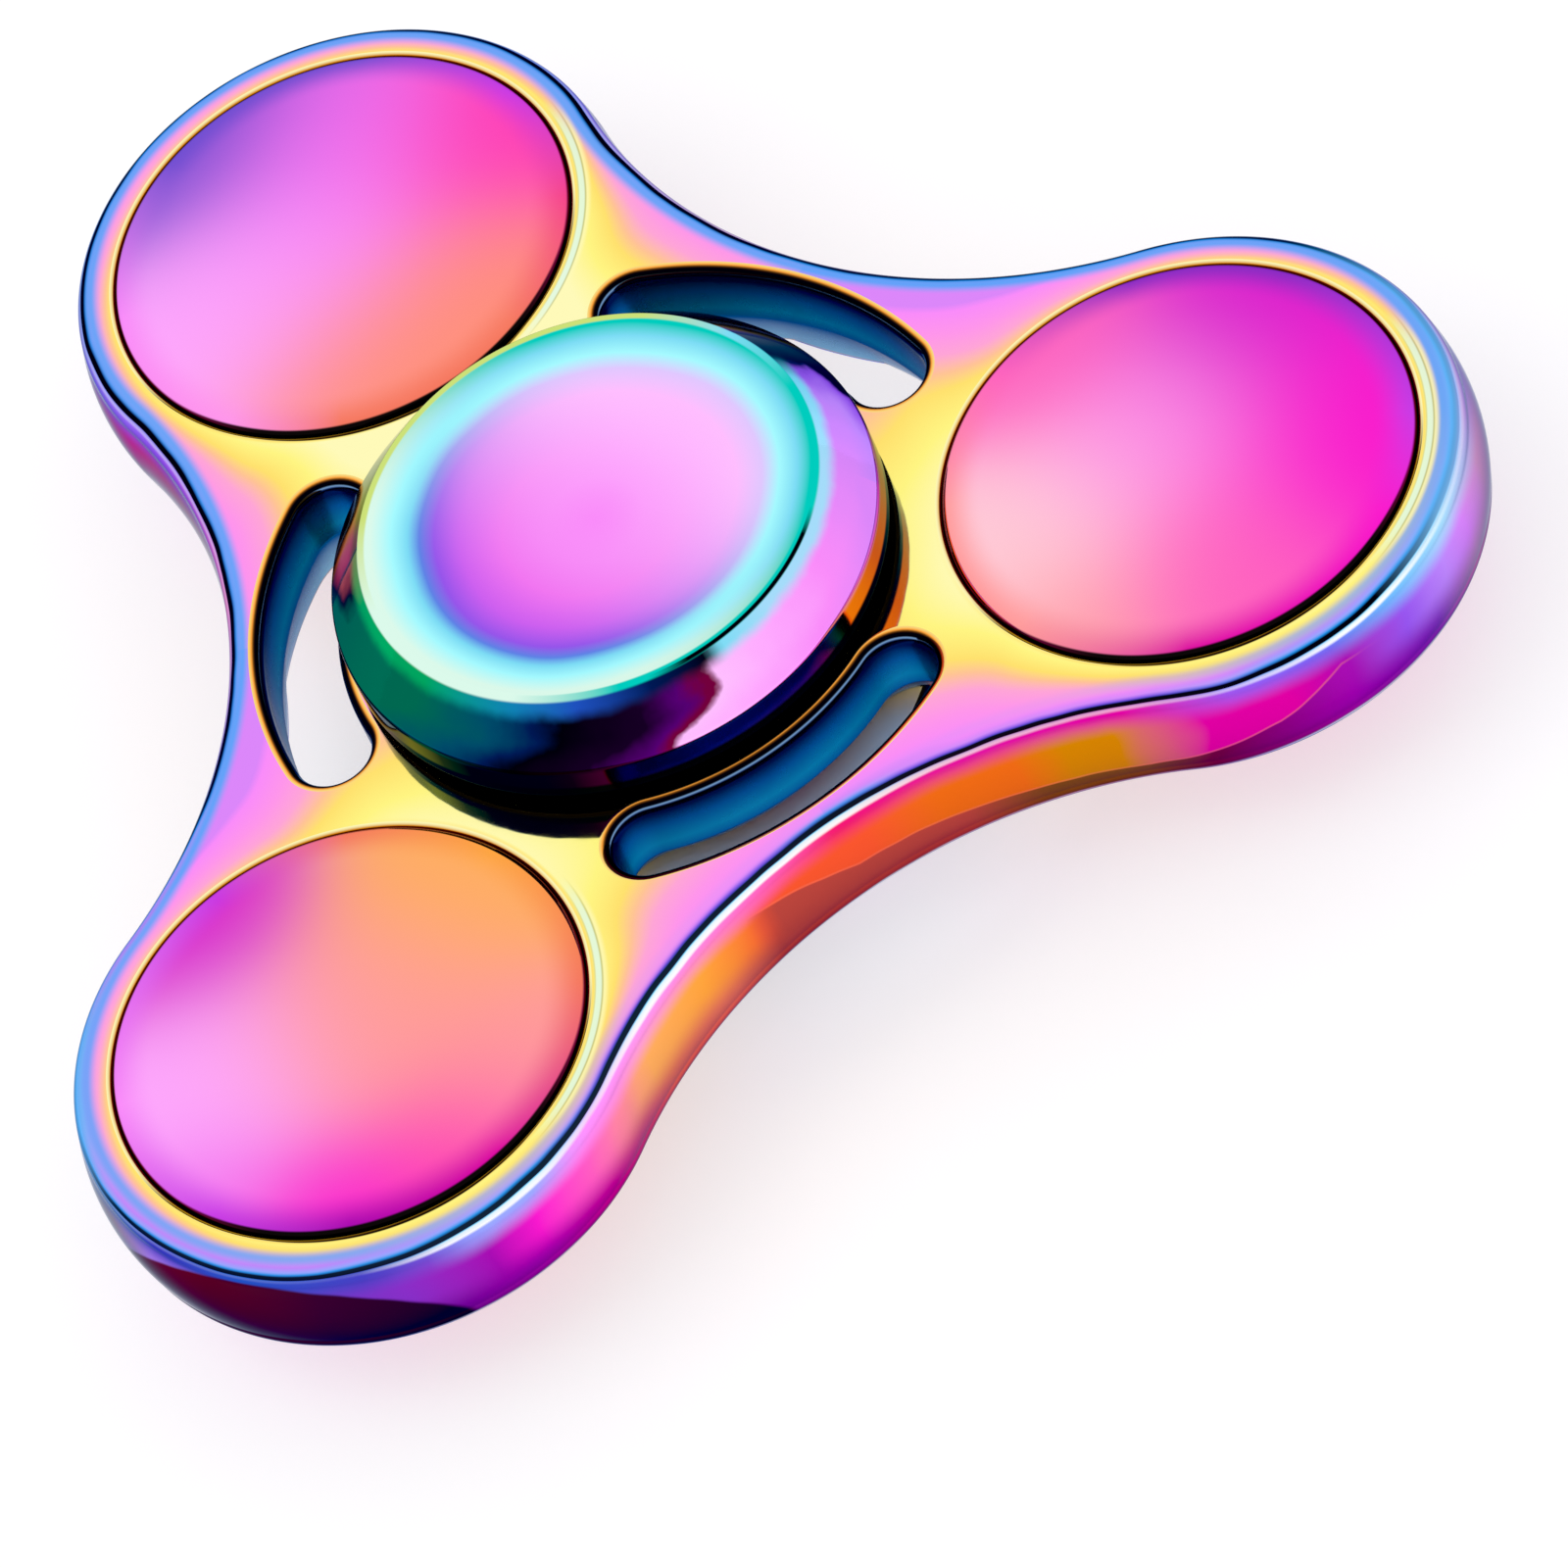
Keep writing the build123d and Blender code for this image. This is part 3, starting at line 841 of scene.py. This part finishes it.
def below_crease(paint, past_crease, top, low_wall):
    """A black line of painted shade, then a painted highlight that comes and goes along the edge, then the
    wall.
    """
    painted_shine = paint.ramp(past_crease, [(0.045, "royal"), (0.07, "cyan"), (0.1, "ice"), (0.2, "white")])
    lit = paint.levels(paint.turn, [
        (0, 0.75), (20, 0.3), (200, 0.3), (250, 0.05), (256, 0.9), (262, 1.0), (266, 0.5), (271, 1.0),
        (302, 0.95), (318, 0.5), (334, 0.3), (341, 0.9), (352, 1.0), (360, 0.75),
    ])
    painted_shine = paint.mix(lit, top, painted_shine)
    painted_shine = paint.mix(paint.smooth(past_crease, 0.06, 0.045), painted_shine, "black")
    past_shine = paint.math("SUBTRACT", past_crease, paint.times(lit, 0.14))
    return paint.mix(paint.smooth(past_shine, 0.08, 0.22), painted_shine, low_wall)


def outer_side(paint):
    """The round-over and the wall. The crease fades out on the outer sides of two lobes."""
    past_crease = distance_past_crease(paint)
    top = wall_top(paint)
    low_wall = wall(paint, top)
    below = below_crease(paint, past_crease, top, low_wall)
    side = paint.mix(paint.math("GREATER_THAN", past_crease, 0.0), above_crease(paint, past_crease), below)
    plain_edge = paint.mix(paint.smooth(paint.depth, 0.15, 0.5), "sky", top)
    plain = paint.mix(paint.smooth(paint.depth, 0.35, 0.7), plain_edge, low_wall)
    creased = paint.levels(paint.turn, [
        (0, 0.2), (12, 0.3), (20, 1.0), (213, 1.0), (218, 0.1), (224, 0.1), (231, 0.95), (345, 1.0),
        (352, 0.25), (360, 0.2),
    ])
    return paint.mix(creased, plain, side)


def slot_side(paint):
    """The walls of the slots are deep blue, under a thin gold line, a thin black one of painted shade and a
    faint pale one of painted highlight.
    """
    return paint.ramp(paint.below_top, [
        (0.0, "straw"), (0.02, "amber"), (0.045, "umber"), (0.07, "black"), (0.17, "black"),
        (0.21, "steel_blue"), (0.26, "midnight"), (0.6, "midnight"), (1.3, "ocean"), (2.3, "lagoon"),
        (2.9, "ocean"), (3.6, "steel_blue"), (5.1, "pale_sky"), (5.3, "apricot"),
    ])


def pocket_side(paint, shadow):
    # Painted light on the pocket's lip: pale at its top as a highlight, near black lower down as shade, and
    # on the near side the painted shade of the dark bands over it.
    side = paint.ramp(paint.depth, [(0.0, "cream"), (0.06, "ochre"), (0.2, "near_black")])
    return paint.mix(paint.smooth(paint.near, 0.2, 0.5), side, shadow)


def body_material():
    paint = BodyPaint("rainbow_body")
    shadow = shadow_line(paint)
    face = with_pocket_lines(paint, flat_face(paint), shadow)
    outer = paint.mix(paint.smooth(paint.depth, 0.0, 0.11), face, outer_side(paint))
    at_pocket = paint.math("LESS_THAN", paint.from_pocket, POCKET_LIP_RADIUS + SMALL_EDGE)
    inner_side = paint.mix(at_pocket, slot_side(paint), pocket_side(paint, shadow))
    inner = paint.mix(paint.math("GREATER_THAN", paint.depth, 0.001), face, inner_side)
    within = paint.math("GREATER_THAN", paint.inset, FLAT_START + SMALL_EDGE)
    in_slot = paint.times(within, paint.smooth(paint.depth, 0.3, 0.8))
    gloss = paint.math("MULTIPLY_ADD", in_slot, 0.22, 0.05)
    return paint.finish(paint.mix(within, outer, inner), gloss=gloss)


# ---- the weights' plating ----
# Each weight has soft patches of (x, y, size, colour) about its middle, and a rim of (angle, colour).
# The pale patch at about (-6, -3) on each weight is a painted highlight, and the run of colour across each
# dome and round its rim is partly the plating's own colour and partly painted reflection.
DISC_SPOTS = [
    [
        (-1, 1, 4.0, "candy"), (-6, -3, 4.5, "blush"), (-5, 6, 4.0, "rose"), (3, 6, 4.5, "fuchsia"),
        (6, 0, 5.0, "hot_magenta"), (1, -6, 4.0, "rose"), (-5, -8, 3.5, "salmon"),
    ],
    [
        (-1, 0, 4.5, "orchid"), (-5, -3, 4.5, "light_orchid"), (-6, 6, 4.5, "dusk"),
        (0, 5, 4.0, "vivid_orchid"), (6, 3, 4.5, "hot_pink"), (6, -4, 4.0, "melon"),
        (1, -7, 4.5, "melon"),
    ],
    [
        (1, 0, 4.5, "salmon"), (-6, -2, 4.5, "light_orchid"), (-6, 6, 4.0, "fuchsia"),
        (5, 6, 5.0, "tangerine"), (7, -3, 3.5, "salmon"), (5, -7, 3.5, "hot_pink"),
        (-1, -9, 3.5, "hot_magenta"), (-6, -7, 3.0, "vivid_orchid"),
    ],
]
DISC_RIMS = [
    [
        (0, "electric"), (60, "amethyst"), (100, "amethyst"), (140, "rose"), (180, "salmon"),
        (225, "salmon"), (270, "magenta"), (330, "hot_magenta"), (360, "electric"),
    ],
    [
        (0, "raspberry"), (40, "electric"), (85, "dusk"), (140, "dusk"), (190, "orchid"), (240, "candy"),
        (270, "coral"), (320, "coral"), (360, "raspberry"),
    ],
    [
        (0, "coral"), (50, "amber"), (90, "coral"), (125, "electric"), (190, "orchid"), (235, "electric"),
        (270, "plum"), (310, "magenta"), (360, "coral"),
    ],
]


def disc_material(arm):
    paint = Paint(f"rainbow_weight_{arm + 1}")
    centre = about_hub(ARM_LENGTH, arm * ARM_STEP)
    east = paint.add(paint.x, -centre[0])
    north = paint.add(paint.y, -centre[1])
    radius = paint.length(east, north)
    colour = paint.patches(centre, DISC_SPOTS[arm])
    rim = paint.ramp(paint.degrees(east, north), DISC_RIMS[arm])
    colour = paint.mix(paint.smooth(radius, 7.6, 9.3), colour, rim)
    # Painted shade: a dark line round the rim of each weight, black on the near side.
    near = paint.smooth(paint.along(east, north, NEAR_SIDE), 4.0, 7.5)
    line = paint.mix(near, "wine", "near_black")
    reach = paint.add(radius, paint.times(near, 0.08))
    at_rim = paint.smooth(reach, POCKET_RADIUS - 0.13, POCKET_RADIUS - 0.05)
    return paint.finish(paint.mix(at_rim, colour, line))


# ---- the caps' plating ----
def dish(paint):
    """The dish runs from pink through violet to aqua at its rim, and is paler towards one side."""
    reach = paint.add(paint.radius, paint.wander(0.15, 1.0, 0.5))
    deep = paint.ramp(reach, [
        (0.0, "orchid"), (3.6, "vivid_orchid"), (5.2, "bright_violet"), (6.2, "violet"),
        (6.75, "cornflower"), (7.2, "cyan"), (7.8, "aqua"), (8.6, "mint"),
    ])
    pale = paint.ramp(reach, [
        (0.0, "orchid"), (2.0, "light_orchid"), (5.8, "pale_orchid"), (6.8, "pale_lilac"), (7.5, "aqua"),
        (8.2, "cyan"), (8.75, "turquoise"),
    ])
    toward = paint.times(paint.add(paint.x, paint.y), 0.5**0.5 / CAP_CREST_RADIUS)
    return paint.mix(paint.smooth(toward, -0.6, 0.55), deep, pale)


def crest(paint):
    # The bright line along the crest is a painted highlight.
    return paint.ramp(paint.turn, [
        (0, "turquoise"), (25, "turquoise"), (50, "cyan"), (75, "lime"), (170, "lime"), (200, "mint"),
        (250, "mint"), (276, "turquoise"), (360, "turquoise"),
    ])


def flank_top(paint):
    # Painted reflections, light and dark, along the top of the flank.
    return paint.ramp(paint.turn, [
        (0, "pale_sky"), (28, "cyan"), (37, "black"), (60, "ink"), (80, "moss"), (110, "lime"),
        (150, "lime"), (176, "olive"), (196, "emerald"), (225, "emerald"), (250, "lagoon"),
        (266, "royal"), (284, "midnight"), (299, "black"), (303, "cyan"), (318, "pale_sky"),
        (360, "pale_sky"),
    ])


def flank(paint, swung):
    """The sloping flank is painted with reflections of light and dark things, whose borders slant and
    wander.
    """
    return paint.ramp(swung, [
        (0, "lilac"), (22, "lavender"), (32, "violet"), (35.5, "black"), (53, "black"), (58, "amethyst"),
        (66, "amethyst"), (71, "ink"), (82, "pearl"), (90, "cream"), (118, "umber"), (134, "cream"),
        (158, "cream"), (170, "peach"), (182, "russet"), (188, "near_black"), (194, "pine"), (224, "pine"),
        (244, "deep_teal"), (254, "midnight"), (261, "black"), (280, "ink"), (290, "grape"),
        (294, "wine"), (296, "wine"), (298, "pale_orchid"), (312, "light_orchid"), (334, "orchid"),
        (360, "lilac"),
    ])


def upright_rim(paint):
    return paint.ramp(paint.turn, [
        (0, "orange"), (13, "burnt_orange"), (20, "brown"), (28, "near_black"), (90, "maroon"), (150, "brown"),
        (190, "near_black"), (212, "moss"), (223, "olive"), (232, "moss"), (240, "near_black"), (262, "ink"),
        (274, "grape"), (290, "indigo"), (314, "purple"), (321, "crimson"), (326, "orange"),
        (345, "burnt_orange"), (360, "orange"),
    ])


def cap_side(paint, height):
    """The outside of a cap, from the crest down: flank, upright rim and a lower edge painted dark as shade.
    """
    fall = paint.math("SUBTRACT", CAP_CREST, height)
    slope = CAP_CREST - CAP_SHOULDER
    ripple = paint.add(paint.noise(0.8, 3.0), -0.5)
    slant = paint.times(paint.smooth(fall, slope * 0.55, slope), 12.0)
    swung = paint.add(paint.turn, slant, paint.times(ripple, 9.0))
    colour = paint.mix(paint.smooth(fall, 0.02, 0.12), crest(paint), flank_top(paint))
    ragged_fall = paint.add(fall, paint.times(ripple, 0.3))
    colour = paint.mix(paint.smooth(ragged_fall, 0.25, 0.75), colour, flank(paint, swung))
    colour = paint.mix(paint.smooth(fall, slope + 0.02, slope + 0.28), colour, upright_rim(paint))
    colour = paint.mix(paint.smooth(height, CAP_UNDERSIDE + 0.62, CAP_UNDERSIDE + 0.42), colour, "near_black")
    # Painted shade: a black line along the crest on the near side.
    near = paint.levels(paint.turn, [(0, 0.0), (284, 0.0), (294, 1.0), (338, 1.0), (346, 0.0)])
    line = paint.times(near, paint.smooth(fall, 0.1, 0.05))
    at_crest = paint.smooth(paint.radius, CAP_CREST_RADIUS - 0.12, CAP_CREST_RADIUS - 0.06)
    return paint.mix(paint.times(line, at_crest), colour, "black")


def cap_material(side):
    """Plating on a cap. Its inner face, which shows through the slots, is painted dark above as shade, and
    pale below as painted light.
    """
    paint = HubPaint("rainbow_cap_top" if side > 0 else "rainbow_cap_bottom")
    height = paint.times(paint.z, float(side))
    land_start = CAP_CREST_RADIUS - CAP_LAND_WIDTH
    outside = paint.smooth(paint.radius, land_start, land_start + 0.1)
    low_down = paint.math("LESS_THAN", height, CAP_CREST - CAP_DISH_DEPTH - SMALL_EDGE)
    colour = paint.mix(paint.math("MAXIMUM", outside, low_down), dish(paint), cap_side(paint, height))
    inner_face = paint.math("LESS_THAN", height, CAP_UNDERSIDE + SMALL_EDGE / 10)
    if side > 0:
        return paint.finish(paint.mix(inner_face, colour, "near_black"))
    made = paint.finish(paint.mix(inner_face, colour, "pearl"))
    paint.feed(paint.shader.inputs["Metallic"], paint.math("SUBTRACT", 1.0, inner_face))
    return made


# ---- the bearing's steel ----
# For each of the record's slots: the material's name, its colour, its roughness and how much that rises.
STEELS = {
    "bearing_steel": ("ground_steel", (205, 205, 208), 0.12, 0.1),
    "ball_steel": ("ball_steel", (222, 222, 226), 0.04, 0.03),
    "cage_steel": ("cage_steel", (190, 188, 186), 0.28, 0.12),
    "shield_steel": ("shield_steel", (200, 200, 204), 0.2, 0.12),
    "spring_steel": ("spring_steel", (150, 150, 156), 0.3, 0.1),
}


def steel_material(name, tint, gloss, spread):
    """Plain steel, with a faint mottle in its colour."""
    paint = Paint(name)
    darker = tuple(round(value * 0.86) for value in tint)
    mottle = paint.ramp(paint.noise(1.6, 4.0), [(0.3, darker), (0.7, tint)])
    return paint.finish(mottle, gloss=gloss, spread=spread, ripple=0.05)


def cover_bearing():
    """Steel for the CAD nodes of the bearing."""
    steels = {slot: steel_material(*look) for slot, look in STEELS.items()}
    for part in frame["record"]["subparts"]:
        if part["material_slot"] in steels:
            materials = frame["nodes"][part["node"]].data.materials
            materials.clear()
            materials.append(steels[part["material_slot"]])


# ---- floor, light and camera ----
FLOOR_SIZE = 1.5  # in metres, as are the places of the lamp below
CAMERA_ANGLES = (-71.0, 50.0, -26.0)  # azimuth, elevation and roll, in degrees
CAMERA_AIM = (6.2, -11.6)  # the point on the top face that the camera looks at
CAMERA_DISTANCE = 550.0
CAMERA_LENS = 337.0


def floor_material():
    paint = Paint("floor")
    tone = paint.ramp(paint.noise(0.02, 3.0), [(0.3, (188, 188, 189)), (0.7, (193, 193, 194))])
    paint.feed(paint.shader.inputs["Base Color"], tone)
    paint.shader.inputs["Roughness"].default_value = 0.6
    paint.shader.inputs["Specular IOR Level"].default_value = 0.2
    paint.shader.inputs["Emission Color"].default_value = (1.0, 1.0, 1.0, 1.0)
    paint.shader.inputs["Emission Strength"].default_value = 0.5
    return paint.material


def make_floor():
    mesh = bpy.data.meshes.new("floor")
    half = FLOOR_SIZE / 2
    corners = [(-half, -half), (half, -half), (half, half), (-half, half)]
    mesh.from_pydata([(x, y, cad_low.z) for x, y in corners], [], [(0, 1, 2, 3)])
    mesh.materials.append(floor_material())
    floor = bpy.data.objects.new("floor", mesh)
    bpy.context.scene.collection.objects.link(floor)


def make_world():
    world = bpy.data.worlds.new("studio")
    bpy.context.scene.world = world
    world.use_nodes = True
    sky = world.node_tree.nodes["Background"]
    sky.inputs["Color"].default_value = (1.0, 1.0, 1.0, 1.0)
    sky.inputs["Strength"].default_value = 1.0


def make_softbox(name, place, size, power):
    """A square area light that faces the middle of the object."""
    lamp = bpy.data.lights.new(name, "AREA")
    lamp.size = size
    lamp.energy = power
    made = bpy.data.objects.new(name, lamp)
    made.location = place
    made.rotation_mode = "QUATERNION"
    made.rotation_quaternion = (-Vector(place)).to_track_quat("-Z", "Y")
    made.visible_glossy = False
    bpy.context.scene.collection.objects.link(made)


def make_camera():
    """A long lens above the near side of the object, rolled to one side."""
    lens = bpy.data.cameras.new("camera")
    lens.sensor_width = 36.0
    lens.lens = CAMERA_LENS
    lens.clip_end = 10.0
    azimuth, elevation, roll = (radians(angle) for angle in CAMERA_ANGLES)
    level = cos(elevation)
    back = Vector((level * cos(azimuth), level * sin(azimuth), sin(elevation)))
    flat_right = Vector((0, 0, 1)).cross(back).normalized()
    right = Matrix.Rotation(roll, 3, back) @ flat_right
    up = back.cross(right)
    place = (Vector((*CAMERA_AIM, HALF_BODY)) + back * CAMERA_DISTANCE) * MM
    camera = bpy.data.objects.new("camera", lens)
    camera.matrix_world = Matrix.Translation(place) @ Matrix((right, up, back)).transposed().to_4x4()
    bpy.context.scene.collection.objects.link(camera)
    bpy.context.scene.camera = camera


# ---- the whole scene ----
body_skin().piece("spinner_body", "body", "rotor", "body_plating", body_material())
for arm in range(ARMS):
    node = f"weight_disc_{arm + 1}"
    disc_skin(arm).piece(f"domed_weight_{arm + 1}", node, "rotor", "weight_plating", disc_material(arm))
cap_skin(1).piece("dished_cap_top", "finger_cap_top", "hub", "cap_plating", cap_material(1))
cap_skin(-1).piece("dished_cap_bottom", "finger_cap_bottom", "hub", "cap_plating", cap_material(-1))
cover_bearing()

make_floor()
make_world()
make_softbox("key", (-0.25, -0.1, 0.5), 0.35, 0.4)
make_camera()
bpy.context.scene.view_settings.view_transform = "Standard"
